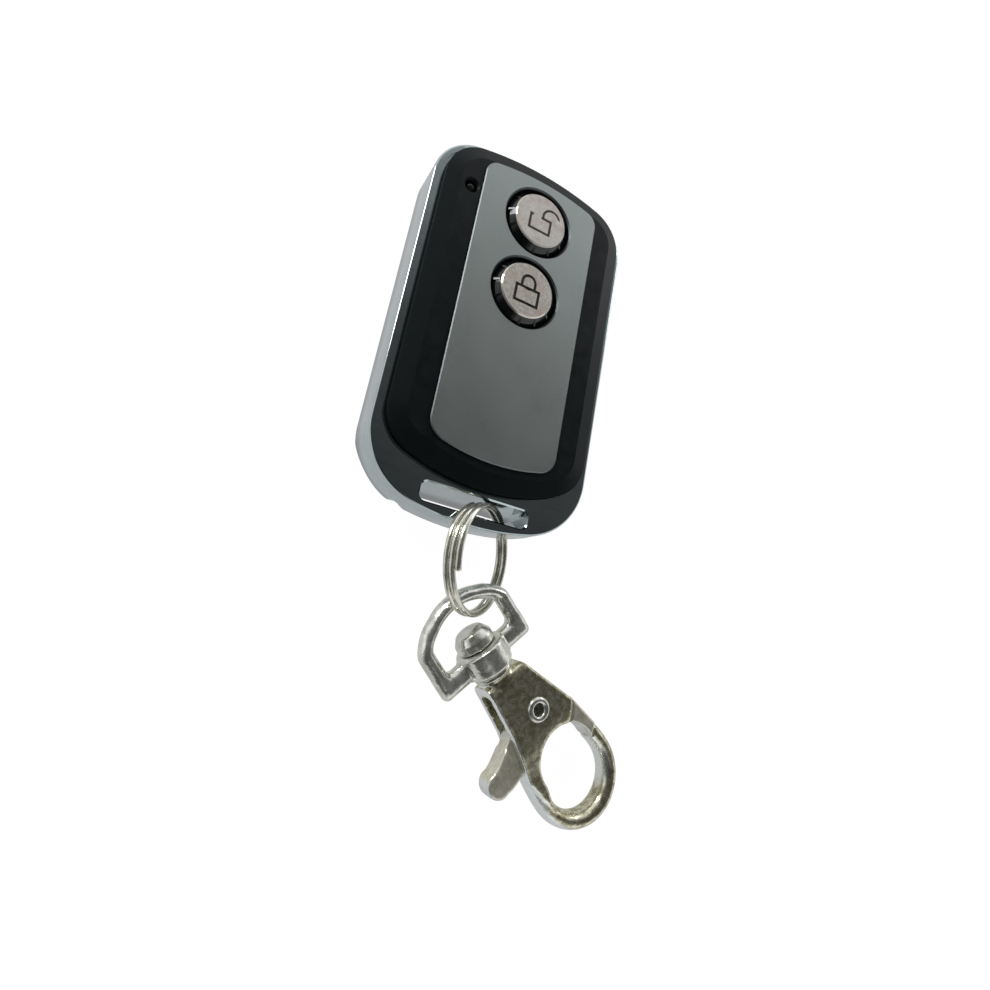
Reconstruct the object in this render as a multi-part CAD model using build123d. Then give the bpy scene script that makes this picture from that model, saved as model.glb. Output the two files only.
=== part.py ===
from build123d import *
import os
from math import asin, atan2, cos, degrees, hypot, pi, radians, sin, sqrt

# Two-button key-fob remote control on a split ring, with a D-ring and a swivel trigger snap.
# Millimetres. The fob lies on its flat back: +X right, +Y towards the indicator end, +Z out of
# the buttons. The origin is on the flat back, at the middle of the shell's outline.

# Chromed back shell: outline, heights and walls
shell_length = 56.4
shell_width = 32.4
shell_height = 7.9
shell_low_bow = 38.0
shell_high_bow = 46.0
shell_low_corner = 9.8
shell_high_corner = 7.6
shell_back_round = 1.0
shell_rim_round = 0.35
lip_rim_round = 0.7
shell_floor = 1.2
ledge_width = 1.35
groove_width = 0.2
groove_depth = 0.12
groove_inset = 0.3

# Key ring lip at the low end: slot, rail and sloped underside
slot_length = 15.7
slot_width = 2.55
slot_corner = 0.9
slot_bevel = 0.2
slot_back_round = 0.35
rail_width = 1.6
relief_height = 4.3
relief_length = 8.7

# Black front housing
housing_low = -23.2
housing_high = 26.85
housing_low_bow = 29.0
housing_high_bow = 44.0
housing_low_corner = 6.0
housing_high_corner = 6.3
housing_fit = 0.1
housing_seat = 4.4
housing_seat_gap = 0.05
housing_edge_height = 9.2
housing_top = 10.05
housing_slope_width = 2.2
housing_wall = 1.2
roof_under = 9.0
lamp_x = -10.95
lamp_y = 18.25
lamp_hole_radius = 0.95
lamp_hole_bevel = 0.25

# Brushed face plate
plate_width = 18.9
plate_low = -19.95
plate_high = 24.5
plate_low_bow = 28.0
plate_high_bow = 37.0
plate_low_corner = 2.8
plate_high_corner = 2.1
plate_thickness = 0.6
plate_recess = 0.25
plate_fit = 0.1
plate_bevel = 0.14
plate_hole_radius = 5.3
plate_hole_bevel = 0.22

# Push buttons
lock_y = 5.9
button_spacing = 11.7
button_stand = 0.65
button_disc_radius = 3.95
button_disc_bevel = 0.2
button_skirt_radius = 5.0
button_skirt_height = 0.9
button_rib_count = 12
button_rib_width = 0.3
button_rib_height = 0.3
button_flange_radius = 5.7
button_flange_thickness = 0.55
button_flange_gap = 0.12
button_roof_fit = 0.2
button_cup_radius = 4.1
button_cup_roof = 1.3
button_stem_radius = 1.6
button_travel = 0.4
mark_depth = 0.15
mark_line = 0.42
lock_mark_width = 4.0
lock_mark_height = 2.8
unlock_mark_width = 3.3
unlock_mark_height = 2.4

# Circuit board and the parts on it
board_thickness = 0.8
board_under = 4.8
board_gap = 0.2
switch_size = 6.0
switch_height = 1.6
switch_pad_length = 0.9
switch_pad_width = 1.2
switch_pad_height = 0.5
plunger_radius = 1.5
plunger_bore_gap = 0.15
plunger_depth = 0.9
plunger_gap = 0.08
lamp_radius = 0.8
lamp_flange_radius = 1.1
lamp_flange_height = 0.4
lamp_body_height = 2.3
lamp_lead = 0.35
lamp_sink = 0.25
chip_lead_width = 0.4
chip_pitch = 1.27
chip_leads_a_side = 7

# Coin cell and its contacts
cell_radius = 10.0
cell_height = 3.1
cell_y = -7.0
cell_cap_radius = 8.7
cell_cap_height = 0.35
contact_strip = 0.15
contact_width = 5.0
contact_gap = 0.05

# Screws
case_screw_x_low = 11.5
case_screw_y_low = -17.4
case_screw_x_high = 10.8
case_screw_y_high = 22.3
case_screw_radius = 0.85
case_screw_head_radius = 1.6
case_screw_head_depth = 0.9
case_screw_sink = 0.15
case_screw_length = 7.4
case_boss_radius = 2.0
boss_gap = 0.1
screw_hole_gap = 0.1
pilot_gap = 0.05
board_screw_x = 11.3
board_screw_y = 4.5
board_screw_radius = 0.8
board_screw_head_radius = 1.4
board_screw_head_height = 0.8
board_screw_length = 3.6
board_post_radius = 1.5
driver_width = 0.4
driver_length = 1.7
driver_depth = 0.5

# Split ring: a wire wound twice, threaded through the lip's slot
ring_diameter = 13.8
ring_wire = 0.8
ring_turns = 2.25
ring_pitch = 1.22
ring_x = 2.8
ring_reach = 3.1
ring_drop = 2.0
ring_lean = 40.0
ring_start_angle = 30.0

# Clasp: how it hangs on the split ring and lies on the table
clasp_yaw = 48.0
clasp_tilt = 5.0
clasp_hang_angle = 14.2
clasp_hang_gap = 1.0
clasp_hang_offset = 4.2

# D-ring
dring_width = 14.8
dring_leg = 2.2
dring_thickness = 2.3
dring_bar_low = -1.1
dring_bar_high = 1.8
dring_arch_foot = 6.1
dring_arch_top = 11.3
dring_shoulder_round = 3.4
dring_corner_round = 0.7
dring_section_round = 0.85
dring_boss_radius = 2.75
dring_boss_low = -1.5
dring_boss_high = 2.1
dring_boss_bevel = 0.35

# Swivel stem of the hook
stem_radius = 1.25
stem_gap = 0.1
stem_end_gap = 0.12
stem_head_radius = 2.25
stem_head_height = 2.5
stem_collar_radius = 2.3
stem_collar_height = 0.9
stem_collar_bevel = 0.25

# Hook body
hook_thickness = 4.4
hook_plate_top = -2.9
hook_neck_left = -2.2
hook_neck_right = 2.7
hook_flank_left = -3.3
hook_flank_drop = 7.3
hook_arm_left = -4.55
hook_shoulder_right = 7.4
hook_shoulder_drop = 10.3
hook_edge_round = 0.45
hook_slope_height = 0.7
hook_slope_length = 1.2
hook_bore_x = 2.1
hook_bore_radius = 4.7
hook_bore_high = -18.4
hook_bore_low = -21.2
hook_arm_halfwidth = 1.22
hook_arm_halfheight = 1.85
hook_arm_lead_radius = 30.0
hook_arm_lead_rise = 8.0
hook_nose_radius = 10.0
hook_nose_rise = 3.6

# Gate lever and its rivet
pivot_x = 1.7
pivot_y = -9.5
gate_inner_reach = 6.0
gate_outer_reach = 10.45
gate_play = 0.15
gate_thickness = 3.4
gate_round = 0.42
gate_open_angle = 28.0
lever_thickness = 2.4
lever_slot_play = 0.1
lever_hub_radius = 2.5
lever_hub_play = 0.2
lever_arm_halfwidth = 1.15
tab_end_x = -7.9
tab_end_y = -13.8
tab_end_radius = 1.75
tab_root_x = -3.9
tab_root_high = -10.9
tab_root_low = -15.6
tab_round = 0.5
rivet_radius = 0.95
rivet_play = 0.05
rivet_bore = 0.6
rivet_lip_radius = 1.65
rivet_lip_height = 0.35
spring_wire = 0.28
spring_radius = 1.5
spring_pitch = 0.72
spring_turns = 1.5
spring_well_play = 0.15

# Sizes that follow from the ones above
shell_low = -shell_length / 2
shell_high = shell_length / 2
slot_low = shell_low + rail_width
slot_high = slot_low + slot_width
relief_start = shell_low + relief_length
face_top = housing_top - plate_recess + plate_thickness
unlock_y = lock_y + button_spacing
button_top = face_top + button_stand
flange_top = roof_under - button_flange_gap
flange_under = flange_top - button_flange_thickness
skirt_top = flange_top + button_skirt_height
board_top = board_under + board_thickness
plunger_top = flange_under - plunger_gap
ring_wire_path = (ring_diameter - ring_wire) / 2
ring_bore = ring_diameter / 2 - ring_wire
ring_y = shell_low - ring_reach
ring_z = shell_height - ring_drop
lever_slot = lever_thickness + 2 * lever_slot_play


def barrel_outline(width, low, high, low_bow, high_bow, low_corner, high_corner):
    """A rectangle with bowed ends and rounded corners, as a flat face."""
    half = width / 2
    low_side = low + low_bow - sqrt(low_bow**2 - half**2)
    high_side = high - high_bow + sqrt(high_bow**2 - half**2)
    edge = Line((-half, low_side), (-half, high_side))
    edge += ThreePointArc((-half, high_side), (0, high), (half, high_side))
    edge += Line((half, high_side), (half, low_side))
    edge += ThreePointArc((half, low_side), (0, low), (-half, low_side))
    face = make_face(edge)
    corners = face.vertices().sort_by(Axis.Y)
    face = fillet(corners[:2], low_corner)
    corners = face.vertices().sort_by(Axis.Y)
    sharp = [v for v in corners if abs(abs(v.X) - half) < 0.001 and v.Y > high_side - 0.001]
    return fillet(sharp, high_corner)


def shell_outline(inset):
    """The back shell's outline, drawn in by an even inset."""
    return barrel_outline(
        shell_width - 2 * inset,
        shell_low + inset,
        shell_high - inset,
        shell_low_bow - inset,
        shell_high_bow - inset,
        shell_low_corner - inset,
        shell_high_corner - inset,
    )


def housing_outline(inset, low=housing_low):
    """The front housing's outline, drawn in by an even inset, with a movable low end."""
    return barrel_outline(
        shell_width - 2 * ledge_width - 2 * inset - 2 * housing_fit,
        low + inset,
        housing_high - inset,
        housing_low_bow - inset,
        housing_high_bow - inset,
        housing_low_corner - inset,
        housing_high_corner - inset,
    )


def plate_outline(inset):
    """The face plate's outline, drawn in by an even inset."""
    return barrel_outline(
        plate_width - 2 * inset,
        plate_low + inset,
        plate_high - inset,
        plate_low_bow - inset,
        plate_high_bow - inset,
        plate_low_corner - inset,
        plate_high_corner - inset,
    )


def prism(face, low, high):
    """A flat face at height 0, extruded between two heights."""
    return extrude(Pos(0, 0, low) * face, high - low)


def post(x, y, radius, low, high):
    """An upright cylinder between two heights."""
    return prism(Pos(x, y) * Circle(radius), low, high)


def block(x, y, width, depth, low, high):
    """An upright box between two heights."""
    return prism(Pos(x, y) * Rectangle(width, depth), low, high)


def edges_at(solid, height):
    """The edges of a solid that lie flat at one height."""
    return solid.edges().filter_by_position(Axis.Z, height - 0.001, height + 0.001)


def case_screw_places():
    """The four case screws, in plan."""
    low = [(side * case_screw_x_low, case_screw_y_low) for side in (-1, 1)]
    high = [(side * case_screw_x_high, case_screw_y_high) for side in (-1, 1)]
    return low + high


def board_screw_places():
    """The two board screws, in plan."""
    return [(side * board_screw_x, board_screw_y) for side in (-1, 1)]


def save(name, part):
    """Write one piece to its own file."""
    part.label = name
    export_step(part, "parts/" + name + ".step")


# Back shell


def lip_relief():
    """The wedge taken off the underside, so that the key ring clears a table."""
    slope = relief_height / relief_length
    far = relief_length + 4
    edge = Polyline(
        (relief_start, 0),
        (relief_start - far, far * slope),
        (relief_start - far, -1),
        (relief_start, -1),
        close=True,
    )
    face = Plane.YZ * make_face(edge)
    return extrude(face, shell_width, both=True)


def lip_slot(low, high, spread=0.0):
    """The slot that the key ring passes through."""
    middle = (slot_low + slot_high) / 2
    shape = RectangleRounded(slot_length + 2 * spread, slot_width + 2 * spread, slot_corner + spread)
    return prism(Pos(0, middle) * shape, low, high)


def ledge_groove():
    """The fine groove round the housing in the shell's ledge."""
    ring = housing_outline(-groove_inset - groove_width) - housing_outline(-groove_inset)
    return prism(ring, shell_height - groove_depth, shell_height + 1)


def case_screw_hole(x, y):
    """Countersink and clearance hole for one case screw, from the back."""
    head = case_screw_head_radius + screw_hole_gap
    depth = case_screw_head_depth + case_screw_sink
    sink = Pos(x, y, depth / 2) * Cone(head, case_screw_radius + screw_hole_gap, depth)
    return sink + post(x, y, case_screw_radius + screw_hole_gap, -1, shell_height)


def lip_rim(body):
    """The edges of the sloped underside round the lip's outline, without its crease."""
    low = body.edges().filter_by_position(Axis.Z, 0.001, relief_height + 0.001)
    return [e for e in low if e.length > 0.5 and e.center().Y < relief_start - 0.01]


def back_shell():
    """Chromed tray with the housing's seat inside and the slotted lip at its low end."""
    body = prism(shell_outline(0), 0, shell_height)
    body = fillet(edges_at(body, 0), shell_back_round)
    body = fillet(edges_at(body, shell_height), shell_rim_round)
    body -= lip_relief()
    body = fillet(lip_rim(body), lip_rim_round)
    body -= prism(housing_outline(-housing_fit), housing_seat, shell_height + 1)
    body -= prism(housing_outline(housing_wall, relief_start), shell_floor, shell_height)
    body -= ledge_groove()
    for x, y in case_screw_places():
        body += post(x, y, case_boss_radius, shell_floor / 2, housing_seat + housing_seat_gap)
        body -= case_screw_hole(x, y)
    body -= lip_slot(-1, shell_height + 1)
    body -= lip_slot_bevel()
    return fillet(slot_rim(body), slot_back_round)


def slot_rim(body):
    """The edges of the slot's lower mouth, in the sloped underside."""
    rim = body.edges().filter_by_position(Axis.Y, slot_low - 0.001, slot_high + 0.001)
    rim = rim.filter_by_position(Axis.X, -slot_length / 2 - 0.001, slot_length / 2 + 0.001)
    rim = rim.filter_by_position(Axis.Z, 0, relief_height)
    return [e for e in rim if e.bounding_box().size.Z < slot_width * relief_height / relief_length]


def lip_slot_bevel():
    """The polished bevel round the slot's upper mouth."""
    middle = (slot_low + slot_high) / 2
    shape = RectangleRounded(slot_length, slot_width, slot_corner)
    wide = RectangleRounded(
        slot_length + 2 * slot_bevel, slot_width + 2 * slot_bevel, slot_corner + slot_bevel
    )
    low = Pos(0, middle, shell_height - slot_bevel) * shape
    high = Pos(0, middle, shell_height) * wide
    return loft([low, high])


# Front housing and face plate


def front_housing():
    """Black moulded front: sloped edge, plate recess, button wells, lamp hole and bosses."""
    body = prism(housing_outline(0), housing_seat + housing_seat_gap, housing_top)
    top_face = body.faces().sort_by(Axis.Z)[-1]
    drop = housing_top - housing_edge_height
    body = chamfer(edges_at(body, housing_top), housing_slope_width, drop, reference=top_face)
    body -= prism(housing_outline(housing_wall), 0, roof_under)
    for x, y in case_screw_places():
        low = housing_seat + housing_seat_gap + boss_gap
        body += post(x, y, case_boss_radius, low, roof_under + 0.2)
        body -= post(x, y, case_screw_radius + pilot_gap, 0, case_screw_sink + case_screw_length + 0.4)
    for x, y in board_screw_places():
        body += post(x, y, board_post_radius, board_top, roof_under + 0.2)
        body -= post(x, y, board_screw_radius + pilot_gap, 0, board_under + board_screw_length)
    body &= prism(housing_outline(0), 0, housing_top)
    body -= prism(plate_outline(-plate_fit), housing_top - plate_recess, housing_top + 1)
    for y in (lock_y, unlock_y):
        body -= post(0, y, button_skirt_radius + button_roof_fit, 0, housing_top)
    body -= post(lamp_x, lamp_y, lamp_hole_radius, 0, housing_top + 1)
    mouth = Pos(lamp_x, lamp_y, housing_top - lamp_hole_bevel / 2)
    return body - mouth * Cone(lamp_hole_radius, lamp_hole_radius + lamp_hole_bevel, lamp_hole_bevel)


def face_plate():
    """Brushed plate in the housing's recess, with polished edges and two button holes."""
    low = housing_top - plate_recess
    body = prism(plate_outline(0), low, face_top)
    body = chamfer(edges_at(body, face_top), plate_bevel)
    for y in (lock_y, unlock_y):
        body -= post(0, y, plate_hole_radius, 0, face_top + 1)
        mouth = Pos(0, y, face_top - plate_hole_bevel / 2)
        body -= mouth * Cone(plate_hole_radius, plate_hole_radius + plate_hole_bevel, plate_hole_bevel)
    return body


# Buttons and switches


def shackle(width, rise, foot):
    """A padlock's bow: a half-round band on two legs, as a flat face."""
    outer = Pos(0, rise) * Circle(width / 2) + Pos(0, (rise - foot) / 2) * Rectangle(width, rise + foot)
    hole = Pos(0, rise) * Circle(width / 2 - mark_line)
    hole += Pos(0, (rise - foot) / 2) * Rectangle(width - 2 * mark_line, rise + foot)
    above = Pos(0, rise + width / 2 - (rise + foot + width) / 2) * Rectangle(2 * width, rise + foot + width)
    return (outer - hole) & above


def lock_mark():
    """A closed padlock in outline."""
    body = Rectangle(lock_mark_width, lock_mark_height)
    body -= Rectangle(lock_mark_width - 2 * mark_line, lock_mark_height - 2 * mark_line)
    bow = Pos(0, lock_mark_height / 2) * shackle(lock_mark_width * 0.62, 0.7, 0)
    return Pos(0, -0.9) * (body + bow)


def unlock_mark():
    """An open padlock in outline, its bow swung out to the right."""
    body = Rectangle(unlock_mark_width, unlock_mark_height)
    body -= Rectangle(unlock_mark_width - 2 * mark_line, unlock_mark_height - 2 * mark_line)
    bow = shackle(unlock_mark_width * 0.75, 0.4, 0)
    shift = unlock_mark_width / 2 + unlock_mark_width * 0.25
    bow = Pos(shift, unlock_mark_height / 2) * bow
    return Pos(-0.6, -0.8) * (body + bow)


def button_ribs():
    """The small fins spaced evenly round a button's conical flank."""
    inner = button_disc_radius + button_disc_bevel
    edge = Polyline(
        (inner - 0.1, button_top - button_disc_bevel - 0.05),
        (inner, button_top - button_disc_bevel - 0.05),
        (button_skirt_radius, skirt_top + button_rib_height),
        (button_skirt_radius, skirt_top - 0.05),
        (inner - 0.1, skirt_top - 0.05),
        close=True,
    )
    fin = extrude(Plane.XZ * make_face(edge), button_rib_width / 2, both=True)
    return Compound(children=[place * fin for place in PolarLocations(0, button_rib_count)])


def push_button(y, mark):
    """Chromed cap: flat disc on a conical flank, with a flange that stays under the roof."""
    edge = Polyline(
        (0, flange_under),
        (button_flange_radius, flange_under),
        (button_flange_radius, flange_top),
        (button_skirt_radius, flange_top),
        (button_skirt_radius, skirt_top),
        (button_disc_radius + button_disc_bevel, button_top - button_disc_bevel),
        (button_disc_radius, button_top),
        (0, button_top),
        close=True,
    )
    cap = revolve(Plane.XZ * make_face(edge), Axis.Z)
    cap += button_ribs()
    cap -= post(0, 0, button_cup_radius, 0, button_top - button_cup_roof)
    cap += post(0, 0, button_stem_radius, flange_under, button_top - button_cup_roof)
    cap -= prism(mark, button_top - mark_depth, button_top + 1)
    return Pos(0, y) * cap


def tact_switch(y):
    """Square switch body on the board, with four soldered feet and a bore for its plunger."""
    half = switch_size / 2
    body = block(0, 0, switch_size, switch_size, board_top, board_top + switch_height)
    body = chamfer(body.edges().filter_by(Axis.Z), 0.5)
    for side in (-1, 1):
        for row in (-1, 1):
            x = side * (half + switch_pad_length / 2)
            body += block(
                x, row * 2.2, switch_pad_length, switch_pad_width, board_top, board_top + switch_pad_height
            )
    bore = plunger_radius + plunger_bore_gap
    well = board_top + switch_height - plunger_depth
    body -= post(0, 0, bore, well - button_travel - 0.05, board_top + switch_height + 1)
    return Pos(0, y) * body


def switch_plunger(y):
    """The round plunger that the button presses."""
    low = board_top + switch_height - plunger_depth + 0.05
    return post(0, y, plunger_radius, low, plunger_top)


# Electronics


def circuit_board():
    """The board under the housing's roof, notched round the case bosses."""
    body = prism(housing_outline(housing_wall + board_gap), board_under, board_top)
    for x, y in case_screw_places():
        body -= post(x, y, case_boss_radius + board_gap, 0, shell_height)
    for x, y in board_screw_places():
        body -= post(x, y, board_screw_radius + screw_hole_gap, 0, shell_height)
    return body


def indicator_lamp():
    """Small round lamp under its hole, on two leads."""
    top = housing_top - lamp_sink
    dome = top - lamp_radius
    low = dome - lamp_body_height + lamp_radius
    body = post(0, 0, lamp_radius, low, dome) + Pos(0, 0, dome) * Sphere(lamp_radius)
    body += post(0, 0, lamp_flange_radius, low, low + lamp_flange_height)
    for side in (-1, 1):
        body += block(side * 0.55, 0, lamp_lead, lamp_lead, board_top, low + lamp_flange_height / 2)
    return Pos(lamp_x, lamp_y) * body


def encoder_chip():
    """Surface-mount chip with a row of leads along each side."""
    length = (chip_leads_a_side + 0.5) * chip_pitch - 0.6
    body = block(0, 0, length, 3.9, board_top + 0.15, board_top + 1.6)
    body = chamfer(edges_at(body, board_top + 1.6), 0.25)
    for index in range(chip_leads_a_side):
        x = (index - (chip_leads_a_side - 1) / 2) * chip_pitch
        for side in (-1, 1):
            body += block(x, side * 2.3, chip_lead_width, 1.3, board_top, board_top + 0.2)
            body += block(x, side * 1.9, chip_lead_width, 0.35, board_top, board_top + 0.85)
    return Pos(-4.2, -6.0) * body


def saw_resonator():
    """Flat metal-lidded resonator."""
    body = block(0, 0, 5.0, 3.5, board_top, board_top + 0.9)
    lid = block(0, 0, 4.4, 2.9, board_top + 0.9, board_top + 1.4)
    return Pos(6.6, -8.0) * (body + lid)


def rf_transistor():
    """Three-legged transistor."""
    body = block(0, 0, 2.9, 1.4, board_top + 0.1, board_top + 1.1)
    for x, y in ((-0.95, -1.0), (0.95, -1.0), (0, 1.0)):
        body += block(x, y, 0.4, 0.9, board_top, board_top + 0.35)
    return Pos(6.4, -3.0) * body


def trimmer_capacitor():
    """Tuning trimmer with a slotted round rotor."""
    body = block(0, 0, 4.4, 3.2, board_top, board_top + 0.8)
    body += post(0, 0, 1.35, board_top + 0.8, board_top + 1.3)
    body -= block(0, 0, 2.2, 0.4, board_top + 1.0, board_top + 2)
    return Pos(0.4, -13.4) * body


def chip_parts():
    """Eight small chip resistors and capacitors in two rows."""
    group = []
    for row in (0, 1):
        for column in range(4):
            place = Pos(-7.8 + 2.6 * column, -0.4 - 10.4 * row)
            chip = block(0, 0, 1.2, 1.0, board_top, board_top + 0.5)
            chip += block(-0.75, 0, 0.4, 1.1, board_top, board_top + 0.55)
            chip += block(0.75, 0, 0.4, 1.1, board_top, board_top + 0.55)
            group.append(place * chip)
    return Compound(children=group)


def antenna_loop():
    """Copper strip soldered round the low end of the board."""
    outer = housing_outline(housing_wall + board_gap + 0.8)
    inner = housing_outline(housing_wall + board_gap + 2.0)
    strip = prism(outer - inner, board_top, board_top + 0.12)
    for x, y in case_screw_places():
        strip -= post(x, y, case_boss_radius + board_gap + 0.3, 0, shell_height)
    keep = block(0, housing_low, 14.0, 12.0, 0, shell_height)
    return strip & keep


def coin_cell():
    """Coin cell, its smaller cap upwards."""
    low = shell_floor + contact_strip + 2 * contact_gap
    rim = low + cell_height - cell_cap_height
    can = post(0, cell_y, cell_radius, low, rim)
    can = chamfer(can.edges().filter_by(GeomType.CIRCLE), 0.3)
    return can + post(0, cell_y, cell_cap_radius, rim, low + cell_height)


def can_contact():
    """Strip under the cell, its two ends turned up to the board."""
    low = shell_floor + contact_gap
    reach = cell_radius + contact_gap + contact_strip
    body = block(0, cell_y, 2 * reach, contact_width, low, low + contact_strip)
    for side in (-1, 1):
        x = side * (reach - contact_strip / 2)
        body += block(x, cell_y, contact_strip, contact_width, low, board_under)
    return body


def cap_contact():
    """Leaf under the board that presses on the cell's cap."""
    top = board_under
    low = shell_floor + contact_strip + 2 * contact_gap + cell_height + contact_gap
    leaf = block(0, cell_y, contact_width, contact_width + 3, top - contact_strip, top)
    return leaf + post(0, cell_y, contact_width / 3, low, top)


def cross_recess(radius, depth):
    """The crossed driver recess of a screw, as a cutting tool that starts at height 0."""
    bar = block(0, 0, 2 * radius, driver_width, -depth, 1)
    return bar + block(0, 0, driver_width, 2 * radius, -depth, 1)


def case_screw():
    """Countersunk screw, head down, standing on its axis at the origin."""
    low = case_screw_sink
    head = Pos(0, 0, low + case_screw_head_depth / 2)
    body = head * Cone(case_screw_head_radius, case_screw_radius, case_screw_head_depth)
    body += post(0, 0, case_screw_radius, low, low + case_screw_length)
    recess = Pos(0, 0, low) * Rot(180, 0, 0) * cross_recess(driver_length / 2, driver_depth)
    return body - recess


def case_screws():
    """The four screws from the back into the housing's bosses."""
    return Compound(children=[Pos(x, y) * case_screw() for x, y in case_screw_places()])


def board_screws():
    """The two screws that hold the board to the housing's posts."""
    group = []
    for x, y in board_screw_places():
        low = board_under - board_screw_head_height
        body = post(0, 0, board_screw_head_radius, low, board_under)
        body = chamfer(edges_at(body, low), 0.3)
        body += post(0, 0, board_screw_radius, board_under, board_under + board_screw_length - 0.3)
        recess = Pos(0, 0, low) * Rot(180, 0, 0) * cross_recess(driver_length / 2, driver_depth)
        group.append(Pos(x, y) * (body - recess))
    return Compound(children=group)


# Wound wire


def coil_point(radius, pitch, turn):
    """A point of a helix round the X axis, and its direction, after a number of turns."""
    angle = 2 * pi * turn
    place = Vector(pitch * turn, radius * cos(angle), radius * sin(angle))
    heading = Vector(pitch / (2 * pi), -radius * sin(angle), radius * cos(angle))
    return place, heading.normalized()


def biarc(start, start_heading, end, end_heading):
    """Two arcs that leave and reach two points in given directions and meet smoothly."""
    chord = end - start
    along = chord.dot(start_heading + end_heading)
    spread = 2 * (1 - start_heading.dot(end_heading))
    reach = (-along + sqrt(along**2 + spread * chord.dot(chord))) / spread
    leave = start + start_heading * reach
    arrive = end - end_heading * reach
    joint = (leave + arrive) * 0.5
    first = TangentArc(start, joint, tangent=start_heading)
    second = TangentArc(joint, end, tangent=arrive - leave)
    return [first, second]


def wire_coil(radius, pitch, turns, wire, start_turn):
    """A round wire wound round the X axis, as one unbroken tube centred on the origin."""
    steps = round(turns * 4)
    marks = [start_turn + turns * index / steps for index in range(steps + 1)]
    stations = [coil_point(radius, pitch, mark) for mark in marks]
    arcs = []
    for (place, heading), (next_place, next_heading) in zip(stations, stations[1:]):
        arcs += biarc(place, heading, next_place, next_heading)
    first_place, first_heading = stations[0]
    profile = Plane(origin=first_place, z_dir=first_heading) * Circle(wire / 2)
    tube = sweep(profile, path=Wire(arcs))
    return Pos(-pitch * (start_turn + turns / 2), 0, 0) * tube


def least_coil_gap(radius, pitch, turns, wire):
    """Least clear gap of a wound wire to its next turn, measured between points."""
    count = round(turns * 180)
    points = [coil_point(radius, pitch, turns * index / count)[0] for index in range(count + 1)]
    least = 1e9
    for first, point in enumerate(points):
        for other in points[first + 90:]:
            least = min(least, (point - other).length)
    return least - wire


def ring_place():
    """The key ring's own frame: its axis is X, and it leans to the left round the rail."""
    return Pos(ring_x, ring_y, ring_z) * Rot(0, -ring_lean, 0)


def split_ring():
    """The key ring: wire wound twice, through the lip's slot and round the rail."""
    coil = wire_coil(ring_wire_path, ring_pitch, ring_turns, ring_wire, ring_start_angle / 360)
    return ring_place() * coil


# Clasp


def clasp_place():
    """The clasp's own frame: origin on the swivel axis, its -Y running to the hook's end."""
    reach = ring_bore - dring_thickness / 2 - clasp_hang_gap
    hang = radians(clasp_hang_angle)
    contact = (ring_place() * Pos(0, -reach * cos(hang), -reach * sin(hang))).position
    turned = Rot(0, 0, clasp_yaw) * Rot(clasp_tilt, 0, 0)
    arch = arch_height(clasp_hang_offset)
    offset = (turned * Pos(clasp_hang_offset, arch, 0)).position
    return Pos(*(contact - offset)) * turned


def arch_radius(half, rise):
    """Radius of the arc over a half chord with a given rise."""
    return (half**2 + rise**2) / (2 * rise)


def arch_height(x):
    """Height of the middle of the D-ring's bow, at a distance from its axis."""
    half = (dring_width - dring_leg) / 2
    top = dring_arch_top - dring_leg / 2
    rise = top - dring_arch_foot
    radius = arch_radius(half, rise)
    return top - radius + sqrt(radius**2 - x**2)


def d_outline(inset, low, shoulder, corner):
    """Outline of the D: two legs, a bow over them and a straight foot."""
    half = dring_width / 2 - inset
    top = dring_arch_top - inset
    edge = Line((-half, low), (-half, dring_arch_foot))
    edge += ThreePointArc((-half, dring_arch_foot), (0, top), (half, dring_arch_foot))
    edge += Line((half, dring_arch_foot), (half, low))
    edge += Line((half, low), (-half, low))
    face = make_face(edge)
    face = fillet(face.vertices().sort_by(Axis.Y)[-2:], shoulder)
    return fillet(face.vertices().sort_by(Axis.Y)[:2], corner)


def d_ring():
    """Cast D-ring with rounded section and a bored boss in its bar for the hook's stem."""
    half = dring_thickness / 2
    outer = d_outline(0, dring_bar_low, dring_shoulder_round, dring_corner_round)
    inner = d_outline(dring_leg, dring_bar_high, dring_shoulder_round - 1.0, dring_corner_round)
    body = prism(outer - inner, -half, half)
    body = fillet(edges_at(body, half) + edges_at(body, -half), dring_section_round)
    length = dring_boss_high - dring_boss_low
    middle = (dring_boss_high + dring_boss_low) / 2
    boss = Pos(0, middle) * Rot(90, 0, 0) * Cylinder(dring_boss_radius, length)
    boss = chamfer(boss.edges().filter_by(GeomType.CIRCLE), dring_boss_bevel)
    bore = Pos(0, middle) * Rot(90, 0, 0) * Cylinder(stem_radius + stem_gap, length + 2)
    return body + boss - bore


def swivel_stem():
    """Stem through the D-ring's boss, with its peened head inside the D and its collar below."""
    head_low = dring_boss_high + stem_end_gap
    head_high = head_low + stem_head_height
    collar_high = dring_boss_low - stem_end_gap
    collar_low = collar_high - stem_collar_height
    edge = Polyline(
        (0, hook_plate_top - 1),
        (stem_collar_radius - 0.3, hook_plate_top - 1),
        (stem_collar_radius - 0.3, collar_low),
        (stem_collar_radius, collar_low + stem_collar_bevel),
        (stem_collar_radius, collar_high - stem_collar_bevel),
        (stem_collar_radius - stem_collar_bevel, collar_high),
        (stem_radius, collar_high),
        (stem_radius, head_low),
        (stem_head_radius, head_low),
        (stem_head_radius, head_low + stem_head_height * 0.45),
        (stem_head_radius * 0.72, head_high - 0.25),
        (stem_head_radius * 0.4, head_high),
        (0, head_high),
        close=True,
    )
    return revolve(make_face(edge), Axis.Y)


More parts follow.
